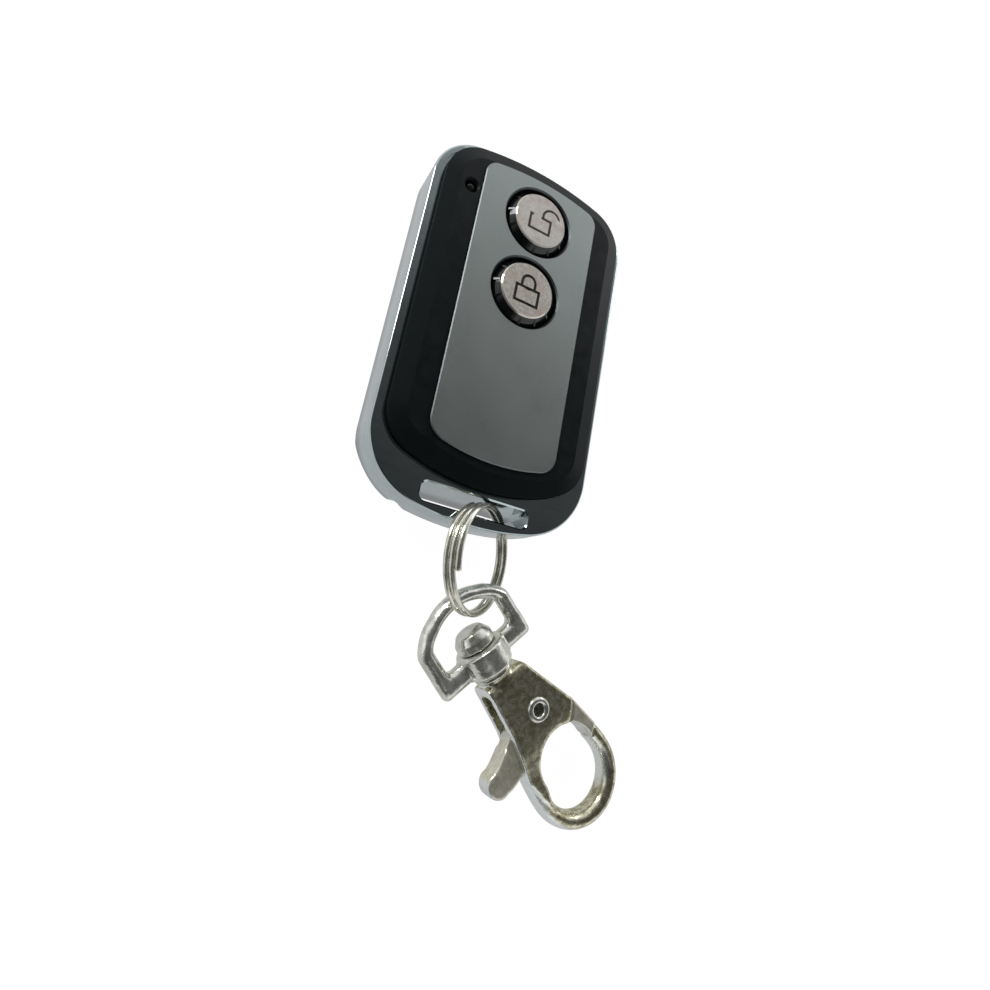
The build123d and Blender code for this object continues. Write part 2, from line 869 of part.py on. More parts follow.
def sector(reach, from_angle, to_angle):
    """A pie slice round the gate's pivot, as a flat face."""
    middle = (from_angle + to_angle) / 2
    places = []
    for angle in (from_angle, middle, to_angle):
        turn = radians(angle)
        places.append((pivot_x + reach * cos(turn), pivot_y + reach * sin(turn)))
    edge = Line((pivot_x, pivot_y), places[0])
    edge += ThreePointArc(*places)
    edge += Line(places[2], (pivot_x, pivot_y))
    return make_face(edge)


def hook_opening():
    """The round-ended opening that the hook closes round."""
    high = Pos(hook_bore_x, hook_bore_high) * Circle(hook_bore_radius)
    low = Pos(hook_bore_x, hook_bore_low) * Circle(hook_bore_radius)
    middle = (hook_bore_high + hook_bore_low) / 2
    return high + low + Pos(hook_bore_x, middle) * Rectangle(
        2 * hook_bore_radius, hook_bore_high - hook_bore_low
    )


def hook_plate():
    """The triangular plate between the neck and the hook, slotted for the lever."""
    edge = Polyline(
        (hook_neck_left, hook_plate_top),
        (hook_neck_right, hook_plate_top),
        (hook_shoulder_right, hook_plate_top - hook_shoulder_drop),
        (hook_bore_x, hook_bore_high),
        (hook_bore_x - hook_bore_radius + 0.6, hook_bore_high + 1.9),
        (hook_arm_left + 1.0, hook_bore_low - 1.3),
        (hook_arm_left, hook_bore_high + 1.6),
        (hook_flank_left, hook_plate_top - hook_flank_drop),
        close=True,
    )
    face = make_face(edge) - hook_opening()
    reach = gate_inner_reach - gate_play
    beyond = sector(2 * gate_outer_reach, -90, -20) - Pos(pivot_x, pivot_y) * Circle(reach)
    face -= beyond
    body = prism(face, -hook_thickness / 2, hook_thickness / 2)
    top = body.faces().sort_by(Axis.Y)[-1]
    slope = [e for e in top.edges() if e.bounding_box().size.Z < 0.001]
    body = chamfer(slope, hook_slope_height, hook_slope_length, reference=top)
    rims = edges_at(body, hook_thickness / 2) + edges_at(body, -hook_thickness / 2)
    return fillet([e for e in rims if e.center().Y < hook_plate_top - hook_slope_length - 0.01], hook_edge_round)


def hook_arm():
    """The rounded arm of the hook, from the plate round to the nose."""
    radius = hook_bore_radius + hook_arm_halfwidth
    left = hook_bore_x - radius
    right = hook_bore_x + radius
    lead = asin(hook_arm_lead_rise / hook_arm_lead_radius)
    half_lead = lead / 2
    nose = asin(hook_nose_rise / hook_nose_radius)
    half_nose = nose / 2
    lead_x = left + hook_arm_lead_radius
    nose_x = right - hook_nose_radius

    def lead_point(turn):
        return (lead_x - hook_arm_lead_radius * cos(turn), hook_bore_low + hook_arm_lead_radius * sin(turn))

    def nose_point(turn):
        return (nose_x + hook_nose_radius * cos(turn), hook_bore_low + hook_nose_radius * sin(turn))

    path = ThreePointArc(lead_point(lead), lead_point(half_lead), (left, hook_bore_low))
    path += ThreePointArc((left, hook_bore_low), (hook_bore_x, hook_bore_low - radius), (right, hook_bore_low))
    path += ThreePointArc((right, hook_bore_low), nose_point(half_nose), nose_point(nose))
    start = Vector(*lead_point(lead))
    heading = Vector(sin(lead), cos(lead)) * -1
    plane = Plane(origin=start, x_dir=(0, 0, 1), z_dir=heading)
    profile = plane * Ellipse(hook_arm_halfheight, hook_arm_halfwidth)
    arm = sweep(profile, path=path)
    beyond = post(pivot_x, pivot_y, gate_outer_reach + gate_play, -9, 9)
    nose_side = block(right, hook_bore_high, 6, 6, -9, 9)
    return arm - (beyond & nose_side)


def hook_body():
    """The cast hook in one piece with its swivel stem."""
    body = hook_plate() + swivel_stem() + hook_arm()
    body -= prism(lever_slot_mask(), -lever_slot / 2, lever_slot / 2)
    return body - post(pivot_x, pivot_y, rivet_radius + rivet_play, -9, 9)


def lever_slot_mask():
    """Plan of the lever's slot: all that the lever sweeps, with its play."""
    hub = Pos(pivot_x, pivot_y) * Circle(lever_hub_radius + lever_hub_play)
    tab_side = sector(gate_outer_reach + 4, 127, 227)
    gate_side = sector(gate_inner_reach + 1, -106, -14)
    return hub + tab_side + gate_side


def tab_plan():
    """Plan of the lever's thumb tab, from the hub out to its rounded end."""
    edge = Polyline(
        (pivot_x, pivot_y + lever_hub_radius),
        (tab_root_x, tab_root_high),
        (tab_end_x + 0.3, tab_end_y + tab_end_radius - 0.02),
        (tab_end_x + 0.5, tab_end_y - tab_end_radius + 0.05),
        (tab_root_x - 0.5, tab_root_low),
        (pivot_x - 1.9, pivot_y - 1.7),
        (pivot_x, pivot_y - lever_hub_radius),
        close=True,
    )
    return make_face(edge) + Pos(tab_end_x, tab_end_y) * Circle(tab_end_radius)


def gate_plan():
    """Plan of the gate: the stretch of the hook's ring that opens."""
    edge = Polyline(
        (hook_shoulder_right + 1.55, hook_bore_high - 1.2),
        (hook_shoulder_right - 0.65, pivot_y - 0.4),
        (hook_shoulder_right - 4.0, pivot_y - 0.4),
        (hook_bore_x + hook_bore_radius - 0.45, hook_bore_high - 1.2),
        close=True,
    )
    ring = Pos(pivot_x, pivot_y) * Circle(gate_outer_reach)
    ring -= Pos(pivot_x, pivot_y) * Circle(gate_inner_reach)
    return (make_face(edge) & ring) - Pos(hook_bore_x, hook_bore_high) * Circle(hook_bore_radius)


def gate_arm_plan():
    """Plan of the thin arm inside the slot, from the hub to the gate."""
    turn = atan2(hook_plate_top - hook_shoulder_drop - 0.3 - pivot_y, hook_shoulder_right - 1.6 - pivot_x)
    length = gate_inner_reach + 0.8
    arm = Rectangle(length, 2 * lever_arm_halfwidth, align=(Align.MIN, Align.CENTER))
    return Pos(pivot_x, pivot_y) * Rot(0, 0, degrees(turn)) * arm


def gate_lever():
    """Lever in one piece: thumb tab, hub on the rivet, and the gate that closes the hook."""
    half = lever_thickness / 2
    hub = Pos(pivot_x, pivot_y) * Circle(lever_hub_radius)
    body = prism(tab_plan(), -half, half)
    rims = [e for e in edges_at(body, half) + edges_at(body, -half) if e.center().X < tab_root_x + 0.3]
    body = fillet(rims, tab_round)
    body += prism(hub + gate_arm_plan(), -half, half)
    gate = prism(gate_plan(), -gate_thickness / 2, gate_thickness / 2)
    rims = edges_at(gate, gate_thickness / 2) + edges_at(gate, -gate_thickness / 2)
    body += fillet(rims, gate_round)
    body -= post(pivot_x, pivot_y, rivet_radius + rivet_play, -9, 9)
    well = spring_radius + spring_wire / 2 + spring_well_play
    deep = spring_turns * spring_pitch + spring_wire + 2 * spring_well_play
    return body - post(pivot_x, pivot_y, well, half - deep, 9)


def gate_rivet():
    """Hollow rivet with a rolled lip on each face of the hook."""
    face = hook_thickness / 2
    body = post(0, 0, rivet_radius, -face, face)
    for side in (-1, 1):
        lip = Pos(0, 0, side * (face + rivet_lip_height / 2)) * Cylinder(rivet_lip_radius, rivet_lip_height)
        outer = lip.edges().filter_by_position(Axis.Z, side * (face + rivet_lip_height) - 0.01,
                                               side * (face + rivet_lip_height) + 0.01)
        body += fillet(outer, rivet_lip_height * 0.8)
    body -= post(0, 0, rivet_bore, -9, 9)
    return Pos(pivot_x, pivot_y) * body


def gate_spring():
    """Torsion spring round the rivet, in the well of the lever's hub."""
    coil = wire_coil(spring_radius, spring_pitch, spring_turns, spring_wire, 0.1)
    height = spring_turns * spring_pitch + spring_wire
    top = lever_thickness / 2 - spring_well_play
    return Pos(pivot_x, pivot_y, top - height / 2) * Rot(0, 90, 0) * coil


def export_all():
    """Write every piece."""
    os.makedirs("parts", exist_ok=True)
    save("back_shell", back_shell())
    save("front_housing", front_housing())
    save("face_plate", face_plate())
    save("unlock_button", push_button(unlock_y, unlock_mark()))
    save("lock_button", push_button(lock_y, lock_mark()))
    save("unlock_switch", tact_switch(unlock_y))
    save("lock_switch", tact_switch(lock_y))
    save("unlock_plunger", switch_plunger(unlock_y))
    save("lock_plunger", switch_plunger(lock_y))
    save("circuit_board", circuit_board())
    save("indicator_lamp", indicator_lamp())
    save("encoder_chip", encoder_chip())
    save("saw_resonator", saw_resonator())
    save("rf_transistor", rf_transistor())
    save("trimmer_capacitor", trimmer_capacitor())
    save("chip_parts", chip_parts())
    save("antenna_loop", antenna_loop())
    save("coin_cell", coin_cell())
    save("can_contact", can_contact())
    save("cap_contact", cap_contact())
    save("case_screws", case_screws())
    save("board_screws", board_screws())
    save("split_ring", split_ring())
    place = clasp_place()
    save("d_ring", place * d_ring())
    save("hook_body", place * hook_body())
    save("gate_lever", place * gate_lever())
    save("gate_rivet", place * gate_rivet())
    save("gate_spring", place * gate_spring())
    ring_gap = least_coil_gap(ring_wire_path, ring_pitch, ring_turns, ring_wire)
    spring_gap = least_coil_gap(spring_radius, spring_pitch, spring_turns, spring_wire)
    print("least gap between the split ring's turns", round(ring_gap, 3))
    print("least gap between the spring's turns", round(spring_gap, 3))
    origin = place.position
    print("swivel centre", round(origin.X, 3), round(origin.Y, 3), round(origin.Z, 3))


export_all()
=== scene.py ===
import bmesh
import bpy
import numpy as np
from mathutils import Matrix, Vector


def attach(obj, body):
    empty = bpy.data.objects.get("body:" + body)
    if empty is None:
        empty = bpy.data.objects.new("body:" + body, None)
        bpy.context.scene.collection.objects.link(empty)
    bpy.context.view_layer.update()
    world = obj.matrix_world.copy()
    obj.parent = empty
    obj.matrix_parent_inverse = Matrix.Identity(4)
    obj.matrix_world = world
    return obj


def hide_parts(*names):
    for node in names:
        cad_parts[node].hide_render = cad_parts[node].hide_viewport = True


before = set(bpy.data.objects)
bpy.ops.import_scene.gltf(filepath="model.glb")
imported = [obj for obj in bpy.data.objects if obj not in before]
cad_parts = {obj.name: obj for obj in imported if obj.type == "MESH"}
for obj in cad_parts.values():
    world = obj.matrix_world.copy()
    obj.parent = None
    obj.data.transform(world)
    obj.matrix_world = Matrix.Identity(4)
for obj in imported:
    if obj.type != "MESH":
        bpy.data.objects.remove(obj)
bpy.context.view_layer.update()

nodes = dict(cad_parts)

# Shapes are worked out in millimetres, in the fob's frame or in the clasp's own.
MM = 0.001
UNLOCK_Y, LOCK_Y = 17.6, 5.9  # middles of the two buttons
DISC_TOP = 11.05  # height of the unlock button's face
PIVOT_X, PIVOT_Y = 1.7, -9.5  # the lever's pivot, in the clasp's frame
CREASE = np.radians(28)  # edges that turn by more than this stay sharp


# ---- finish helpers -------------------------------------------------------

class Shading:
    """The nodes of one material or world."""

    def __init__(self, owner):
        owner.use_nodes = True
        self.tree = owner.node_tree
        self.tree.nodes.clear()

    def add(self, kind):
        return self.tree.nodes.new("ShaderNode" + kind)

    def feed(self, socket, value):
        """Links an output to a socket, or sets a plain value on it; a colour is a triple."""
        if isinstance(value, bpy.types.NodeSocket):
            self.tree.links.new(value, socket)
        elif socket.type == "RGBA":
            socket.default_value = (*value, 1.0)
        else:
            socket.default_value = value

    def feed_all(self, sockets, values):
        for socket, value in zip(sockets, values):
            self.feed(socket, value)

    def maths(self, how, *values):
        """One sum on numbers or outputs."""
        node = self.add("Math")
        node.operation = how
        self.feed_all(node.inputs, values)
        return node.outputs["Value"]

    def times(self, first, second):
        return self.maths("MULTIPLY", first, second)

    def plus(self, first, second):
        return self.maths("ADD", first, second)

    def most(self, first, second):
        return self.maths("MAXIMUM", first, second)

    def vector_maths(self, how, *values):
        """One sum on vectors; gives the node's outputs."""
        node = self.add("VectorMath")
        node.operation = how
        self.feed_all(node.inputs, values)
        return node.outputs

    def blend(self, factor, low, high, how="MIX"):
        """Mixes two colours; each is a triple or an output."""
        node = self.add("Mix")
        node.data_type = "RGBA"
        node.blend_type = how
        self.feed_all((node.inputs[0], node.inputs[6], node.inputs[7]), (factor, low, high))
        return node.outputs[2]

    def mixed_shader(self, factor, first, second):
        node = self.add("MixShader")
        self.feed_all(node.inputs, (factor, first, second))
        return node.outputs["Shader"]


class Finish(Shading):
    """One material with a Principled surface. Sizes are in millimetres, on the object's own coordinates."""

    def __init__(self, name, metal=0.0):
        self.material = bpy.data.materials.new(name)
        super().__init__(self.material)
        self.out = self.add("OutputMaterial")
        self.surface = self.add("BsdfPrincipled")
        self.feed(self.out.inputs["Surface"], self.surface.outputs["BSDF"])
        self.coords = self.add("TexCoord")
        self.put("Metallic", metal)

    def put(self, socket, value):
        """Sets a plain value, or links an output, on a socket of the surface."""
        self.feed(self.surface.inputs[socket], value)

    def grain(self, size, detail=2.0, rough=0.5, stretch=(1, 1, 1), warp=0.0):
        """Cloudy noise whose blotches are about size millimetres across."""
        mapping = self.add("Mapping")
        self.feed(mapping.inputs["Vector"], self.coords.outputs["Object"])
        self.feed(mapping.inputs["Scale"], stretch)
        noise = self.add("TexNoise")
        for name, value in (("Vector", mapping.outputs["Vector"]), ("Scale", 1.0 / (size * MM)),
                            ("Detail", detail), ("Roughness", rough), ("Distortion", warp)):
            self.feed(noise.inputs[name], value)
        return noise.outputs["Fac"]

    def cells(self, size):
        """Rounded cells about size millimetres across."""
        cell = self.add("TexVoronoi")
        self.feed(cell.inputs["Vector"], self.coords.outputs["Object"])
        self.feed(cell.inputs["Scale"], 1.0 / (size * MM))
        return cell.outputs["Distance"]

    def span(self, value, low, high, to_low, to_high, smooth=False):
        """Carries value from low..high to to_low..to_high and stops at both ends."""
        node = self.add("MapRange")
        node.interpolation_type = "SMOOTHSTEP" if smooth else "LINEAR"
        self.feed_all(node.inputs, (value, low, high, to_low, to_high))
        return node.outputs["Result"]

    def turned_down(self, value):
        """1 where value is 0, and 0 where it is 1."""
        return self.span(value, 0, 1, 1, 0)

    def facing(self, direction, low, high):
        """1 where the surface faces direction in its own frame, 0 where it turns away."""
        cosine = self.vector_maths("DOT_PRODUCT", self.coords.outputs["Normal"], direction)["Value"]
        return self.span(cosine, low, high, 0.0, 1.0, True)

    def coordinates(self):
        """The three object coordinates in metres, as outputs."""
        parts = self.add("SeparateXYZ")
        self.feed(parts.inputs["Vector"], self.coords.outputs["Object"])
        return parts.outputs["X"], parts.outputs["Y"], parts.outputs["Z"]

    def height(self):
        return self.coordinates()[2]

    def plan_from(self, y):
        """Places across and along the fob, in millimetres from the point y of its middle line."""
        across, along, _ = self.coordinates()
        return self.times(across, 1 / MM), self.plus(self.times(along, 1 / MM), -y)

    def length(self, across, along):
        return self.maths("POWER", self.plus(self.times(across, across), self.times(along, along)), 0.5)

    def relief(self, height, depth, strength):
        """Bump from a height output; depth is in millimetres."""
        bump = self.add("Bump")
        for name, value in (("Distance", depth * MM), ("Strength", strength), ("Height", height)):
            self.feed(bump.inputs[name], value)
        self.put("Normal", bump.outputs["Normal"])

    def duller(self, factor, colour, roughness, level):
        """Where factor is 0, the surface gives way to a duller one with the same relief."""
        dull = self.add("BsdfPrincipled")
        relief = self.surface.inputs["Normal"].links[0].from_socket
        for name, value in (("Base Color", colour), ("Roughness", roughness),
                            ("Specular IOR Level", level), ("Normal", relief)):
            self.feed(dull.inputs[name], value)
        self.feed(self.out.inputs["Surface"],
                  self.mixed_shader(factor, dull.outputs["BSDF"], self.surface.outputs["BSDF"]))

    def wear(self, *names):
        """Puts this finish on the named pieces; on a plain part it takes the place of the part's own."""
        for name in names:
            slots = nodes[name].data.materials
            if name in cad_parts:
                slots.clear()
            slots.append(self.material)


# ---- pieces shaped finer than the plain parts -------------------------------

def turn_about(axis, degrees):
    """4 x 4 turn about X, Y or Z."""
    return np.array(Matrix.Rotation(np.radians(degrees), 4, axis))


def moved(place):
    """4 x 4 move to a place."""
    return np.array(Matrix.Translation(Vector(place)))


# The clasp's own frame has Y along it and Z through its plate; the split ring's has X as its axis.
CLASP = moved((7.107, -44.098, 4.393)) @ turn_about("Z", 48) @ turn_about("X", 5)
RING = moved((2.65, -31.8, 6.06)) @ turn_about("Y", -50.8)


def carried(points, place):
    return points @ place[:3, :3].T + place[:3, 3]


def smooth_step(value, low, high):
    """0 below low, 1 above high, a smooth rise between."""
    t = np.clip((value - low) / (high - low), 0, 1)
    return t * t * (3 - 2 * t)


def in_scene(name, data):
    """A new object with this data."""
    made = bpy.data.objects.new(name, data)
    bpy.context.scene.collection.objects.link(made)
    return made


def as_piece(name, points, faces, node, body):
    """A mesh from points in millimetres; it stands for a CAD node and rides its body."""
    mesh = bpy.data.meshes.new(name)
    mesh.from_pydata((points * MM).tolist(), [], faces)
    mesh.validate()
    mesh.shade_smooth()
    piece = in_scene(name, mesh)
    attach(piece, body)
    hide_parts(node)
    nodes[name] = piece
    return piece


def grid_faces(points):
    """Faces over a rows x columns grid of points that closes along its columns."""
    rows, columns = points.shape[:2]
    index = np.arange(rows * columns).reshape(rows, columns)
    beside = np.roll(index, -1, axis=1)
    quads = np.stack((index[:-1], beside[:-1], beside[1:], index[1:]), axis=-1).reshape(-1, 4)
    return points.reshape(-1, 3), quads.tolist()


def tube(centres, across, up, radius):
    """Round tube: centre(t) + radius (cos a across(t) + sin a up(t)), with ends drawn in to a point."""
    narrowing, lead = [0.0, 0.55, 0.85], [0.225, 0.21, 0.12]
    around = 20
    squeeze = np.concatenate((narrowing, np.ones(len(centres)), narrowing[::-1]))
    shift = np.concatenate((np.negative(lead), np.zeros(len(centres)), lead[::-1]))
    ahead = np.cross(across, up)
    ends = np.concatenate((np.zeros(3, int), np.arange(len(centres)), np.full(3, len(centres) - 1)))
    centres = centres[ends] + shift[:, None] * ahead[ends]
    angle = np.linspace(0, 2 * np.pi, around, endpoint=False)[None, :, None]
    ring = np.cos(angle) * across[ends][:, None] + np.sin(angle) * up[ends][:, None]
    return grid_faces(centres[:, None] + radius * squeeze[:, None, None] * ring)


def merged_copy(name, points, faces):
    """Mesh data with doubles merged and faces outwards."""
    mesh = bpy.data.meshes.new(name)
    mesh.from_pydata(points.tolist(), [], faces)
    work = bmesh.new()
    work.from_mesh(mesh)
    bmesh.ops.remove_doubles(work, verts=work.verts, dist=1e-4)
    bmesh.ops.recalc_face_normals(work, faces=work.faces)
    work.to_mesh(mesh)
    work.free()
    return mesh


def mesh_points(mesh):
    flat = np.empty(len(mesh.vertices) * 3)
    mesh.vertices.foreach_get("co", flat)
    return flat.reshape(-1, 3)


def mesh_faces(mesh):
    return [tuple(face.vertices) for face in mesh.polygons]


def part_copy(node):
    """A plain part's form as merged mesh data in millimetres."""
    source = nodes[node].data
    return merged_copy(node + "_copy", mesh_points(source) / MM, mesh_faces(source))


def cast_form(node, step, passes):
    """Points, in the clasp's frame, and faces of a part remade in even steps with its edges worn round."""
    work = in_scene(node + "_work", part_copy(node))
    even = work.modifiers.new("even", "REMESH")
    even.mode = "VOXEL"
    even.voxel_size = step
    worn = work.modifiers.new("worn", "SMOOTH")
    worn.factor = 0.5
    worn.iterations = passes
    made = work.evaluated_get(bpy.context.evaluated_depsgraph_get()).to_mesh()
    points = mesh_points(made)
    faces = np.empty(len(made.polygons) * 4, int)
    made.polygons.foreach_get("vertices", faces)
    bpy.data.objects.remove(work)
    return carried(points, np.linalg.inv(CLASP)), faces.reshape(-1, 4)


def wound_ring():
    """Split ring: tube on (p t, R cos(a + 2 pi t), R sin(a + 2 pi t)) for t turns, windings side by side."""
    turns, pitch, radius, wire, start = 2.25, 0.86, 7.2, 0.42, np.radians(21.6)
    t = np.linspace(0, turns, 289)
    none = np.zeros_like(t)
    angle = start + 2 * np.pi * t
    out = np.stack((none, np.cos(angle), np.sin(angle)), -1)
    centres = radius * out + np.stack((pitch * (t - turns / 2), none, none), -1)
    side = np.broadcast_to((1.0, 0.0, 0.0), out.shape)
    points, faces = tube(centres, side, out, wire)
    mesh = merged_copy("split_ring_wire", carried(points, RING), faces)
    as_piece("wound_split_ring", mesh_points(mesh), mesh_faces(mesh), "split_ring", "ring")


def dee_centre_line():
    """Middle of the D's wire in the clasp's plan: an arch on two legs, closed by its bar."""
    half, foot, top, bar = 6.3, 6.1, 10.2, 0.35
    rise = top - foot
    radius = (half**2 + rise**2) / (2 * rise)
    x = np.linspace(-half, half, 121)
    leg = np.linspace(bar, foot, 60)
    arch = np.stack((x, top - radius + np.sqrt(radius**2 - x**2)), -1)
    right = np.stack((np.full_like(leg, half), leg), -1)
    left = np.stack((np.full_like(leg, -half), leg), -1)
    across = np.stack((x, np.full_like(x, bar)), -1)
    return np.concatenate((arch, right, left, across))


def cast_dee():
    """D-ring: the cast form with its wire's faces crowned and its boss swollen round the bore."""
    points, faces = cast_form("d_ring", 0.15, 5)
    away = np.sqrt(((points[:, None, :2] - dee_centre_line()[None]) ** 2).sum(-1)).min(1)
    wire_half, bar_y = 1.15, 0.3
    in_bar = 1 - smooth_step(np.abs(points[:, 1] - bar_y), 1.7, 2.4)
    near_boss = in_bar * (1 - smooth_step(np.abs(points[:, 0]), 2.8, 3.4))
    crown = 0.55 * np.clip(away / wire_half, 0, 1) ** 2 * (1 - 0.6 * in_bar)
    points[:, 2] *= 1.12 * (1 - crown * (1 - near_boss))
    # the bore keeps its size; the growth rises from it to the boss's rim, then fades
    bore, rim, growth = 1.35, 2.75, 0.62
    reach = np.hypot(points[:, 0], points[:, 2])
    rising = (reach - bore) / (rim - bore)
    swell = growth * np.where(reach < rim, rising, 1 - smooth_step(reach, rim, 5.6))
    wider = 1 + near_boss * np.clip(swell, 0, 1) / np.maximum(reach, 0.5)
    points[:, 0] *= wider
    points[:, 2] *= wider
    # the legs stand a little further out, and the arch comes down
    leg_shift, arch_drop = 0.28, 1.25
    points[:, 0] += leg_shift * np.sign(points[:, 0]) * smooth_step(np.abs(points[:, 0]), 3.6, 5.2)
    points[:, 1] -= arch_drop * smooth_step(points[:, 1], 1.8, 11.5)
    as_piece("cast_d_ring", carried(points, CLASP), faces.tolist(), "d_ring", "dee")


def lengthened(y):
    """The hook's length along the clasp: what lies beyond the rivet is drawn out a little."""
    start, reach, growth = 12.5, 14.0, 1.25
    return y - growth * np.clip((-y - start) / reach, 0, 1.15)


def cast_hook():
    """Hook: the cast form, with fuller head, collar and neck and a thicker plate; the stem is slot 1."""
    points, faces = cast_form("hook_body", 0.16, 5)
    x, y, z = points.T.copy()
    plate = smooth_step(-y, 2.6, 3.3)
    head = smooth_step(y, 2.14, 2.3)
    collar = smooth_step(-y, 1.56, 1.7) * (1 - plate)
    fuller = 1 + 0.20 * (head + collar)
    # each side of the neck moves out by a length, given here as a share of the plate's half width
    neck_top, neck_length, right_growth, left_growth = 2.9, 10.3, 0.85, 0.65
    down = np.clip(-y - neck_top, 0, neck_length)
    right = right_growth * (1 - down / neck_length) / (2.7 + 4.7 * down / neck_length)
    left = left_growth * np.clip(1 - down / 7.3, 0, 1) / (2.2 + 0.15 * down)
    points[:, 0] = x * fuller * (1 + np.where(x < 0, left, right) * plate)
    front_growth, back_growth = 0.42, 0.35
    thick = plate * (1 - smooth_step(-y, 12.0, 17.0)) * smooth_step(np.abs(z), 1.3, 1.75)
    points[:, 2] = z * fuller + np.where(z > 0, front_growth, -back_growth) * thick
    # the bow's back is a little flatter
    points[:, 2] *= np.where(z < 0, 1 - 0.07 * smooth_step(-y, 17.0, 26.0), 1.0)
    points[:, 1] = lengthened(y)
    stem_end = -2.55
    on_stem = (y[faces].mean(1) > stem_end).astype(int)
    piece = as_piece("cast_hook", carried(points, CLASP), faces.tolist(), "hook_body", "hook")
    piece.data.polygons.foreach_set("material_index", on_stem)


def cast_lever():
    """Lever: the cast form with a thicker thumb tab and a gate as deep as the hook's plate."""
    points, faces = cast_form("gate_lever", 0.13, 4)
    x, y, z = points.T.copy()
    tab = smooth_step(-x, 4.2, 5.0)
    gate = smooth_step(np.hypot(x - PIVOT_X, y - PIVOT_Y), 6.0, 6.4) * smooth_step(x, 0.0, 1.0)
    tab_growth, gate_front, gate_back, tab_drop = 0.30, 0.16, 0.08, 0.45
    points[:, 2] = z * (1 + tab_growth * tab + np.where(z > 0, gate_front, gate_back) * gate)
    points[:, 1] = lengthened(y) - tab_drop * smooth_step(-x, 4.0, 7.0)
    as_piece("cast_lever", carried(points, CLASP), faces.tolist(), "gate_lever", "gate")


def hollow_rivet():
    """Rivet: profile (r, z) turned round the pivot; a shank with a rolled lip and a deep bore at each end."""
    turn = np.linspace(0, np.pi, 13)
    lip_r, lip_z = 1.26 + 0.46 * np.cos(turn), 2.58 + 0.50 * np.sin(turn)
    shank, bore, bore_floor, low_shift = 0.95, [0, 0.72, 0.78], [0.3, 0.3, 0.5], 0.12
    r = np.concatenate((bore, lip_r[::-1], [shank, shank], lip_r, bore[::-1]))
    z = np.concatenate((bore_floor, lip_z[::-1], [2.4, -2.3], low_shift - lip_z, np.negative(bore_floor[::-1])))
    angle = np.linspace(0, 2 * np.pi, 72, endpoint=False)
    height = np.repeat(z[:, None], len(angle), 1)
    points, faces = grid_faces(np.stack((r[:, None] * np.cos(angle), r[:, None] * np.sin(angle), height), -1))
    mesh = merged_copy("rivet_roll", points + (PIVOT_X, PIVOT_Y, 0.0), faces)
    as_piece("rolled_rivet", carried(mesh_points(mesh), CLASP), mesh_faces(mesh), "gate_rivet", "hook")


def plain_button():
    """Unlock button: its form with a level disc, whose mark is cut by its finish instead."""
    source = nodes["unlock_button"].data
    points = mesh_points(source) / MM
    disc_radius, groove_floor = 3.8, 10.85
    on_disc = np.hypot(points[:, 0], points[:, 1] - UNLOCK_Y) < disc_radius
    points[on_disc & (points[:, 2] > groove_floor), 2] = DISC_TOP
    mesh = merged_copy("unlock_button_copy", points, mesh_faces(source))
    piece = as_piece("level_unlock_button", mesh_points(mesh), mesh_faces(mesh), "unlock_button", "unlock_key")
    piece.data.set_sharp_from_angle(angle=CREASE)


def deep_shell():
    """Back shell: the tray with the slot's inner wall carried down to the table and a taller end wall."""
    mesh = part_copy("back_shell")
    points = mesh_points(mesh)
    x, y, z = points.T.copy()
    # the lip's underside rises from slope_start to the end
    slope_start, steepness, highest = -19.5, 0.494, 4.4
    rise = np.clip((slope_start - y) * steepness, 0, highest)
    under = 1 - smooth_step(z - rise, 1.6, 2.4)
    beside_slot = 1 - smooth_step(np.abs(x), 9.6, 10.6)
    past_slot = smooth_step(y, -25.0, -24.2)
    inner = beside_slot * past_slot
    rail = beside_slot * smooth_step(y, -27.4, -26.9) * (1 - past_slot)
    end_share, draft = 0.40, 0.50
    share = inner + end_share * (1 - inner) * (1 - rail) * smooth_step(-y, 21.5, 27.0)
    points[:, 2] = z - rise * under * share
    points[:, 1] -= draft * under * inner
    piece = as_piece("deep_back_shell", points, mesh_faces(mesh), "back_shell", "fob")
    piece.data.set_sharp_from_angle(angle=CREASE)


# ---- finishes -------------------------------------------------------------

def chromed_shell():
    """Bright plating: near mirror, with a faint orange peel, haze and streaks, and painted shade low down,
    where the wall reflects the shadowed table.
    """
    f = Finish("bright_chrome_plating", 1.0)
    haze = f.grain(3.5, 4.0, 0.6)
    streaks = f.grain(0.7, stretch=(0.10, 1.0, 1.6))
    plating = f.blend(f.span(haze, 0.35, 0.7, 0, 1), (0.50, 0.575, 0.590), (0.45, 0.515, 0.530))
    plating = f.blend(f.span(streaks, 0.50, 0.62, 0, 0.2), plating, (0.30, 0.36, 0.38))
    # painted shade: the plating darkens towards the table, standing for the contact shadow that the lower wall
    # reflects
    above_painted_shade = f.span(f.height(), 1.4 * MM, 4.2 * MM, 0, 1, True)
    f.put("Base Color", f.blend(above_painted_shade, (0.21, 0.225, 0.24), plating))
    f.put("Roughness", f.span(haze, 0.3, 0.75, 0.05, 0.14))
    f.relief(f.grain(0.9), 0.01, 0.25)
    f.wear("deep_back_shell")


def black_front():
    """Moulded black plastic with a fine even grain, duller on its slopes than on its flat, and with painted
    light on the slopes, which are coloured a little lighter.
    """
    f = Finish("black_moulded_front")
    cloud = f.grain(2.2, 3.0, 0.55)
    f.put("Base Color", f.blend(cloud, (0.0035, 0.0068, 0.0080), (0.0078, 0.0135, 0.0155)))
    f.put("Roughness", f.span(cloud, 0.3, 0.7, 0.24, 0.34))
    f.put("Specular IOR Level", 0.36)
    f.relief(f.grain(0.14, 2.0, 0.6), 0.012, 0.35)
    # painted light: the slopes get a slightly lighter colour than the flat face, as well as a duller gloss
    slope_painted_light = f.blend(cloud, (0.006, 0.010, 0.0115), (0.010, 0.0155, 0.0175))
    f.duller(f.facing((0, 0, 1), 0.95, 0.995), slope_painted_light, 0.42, 0.12)
    f.wear("front_housing")


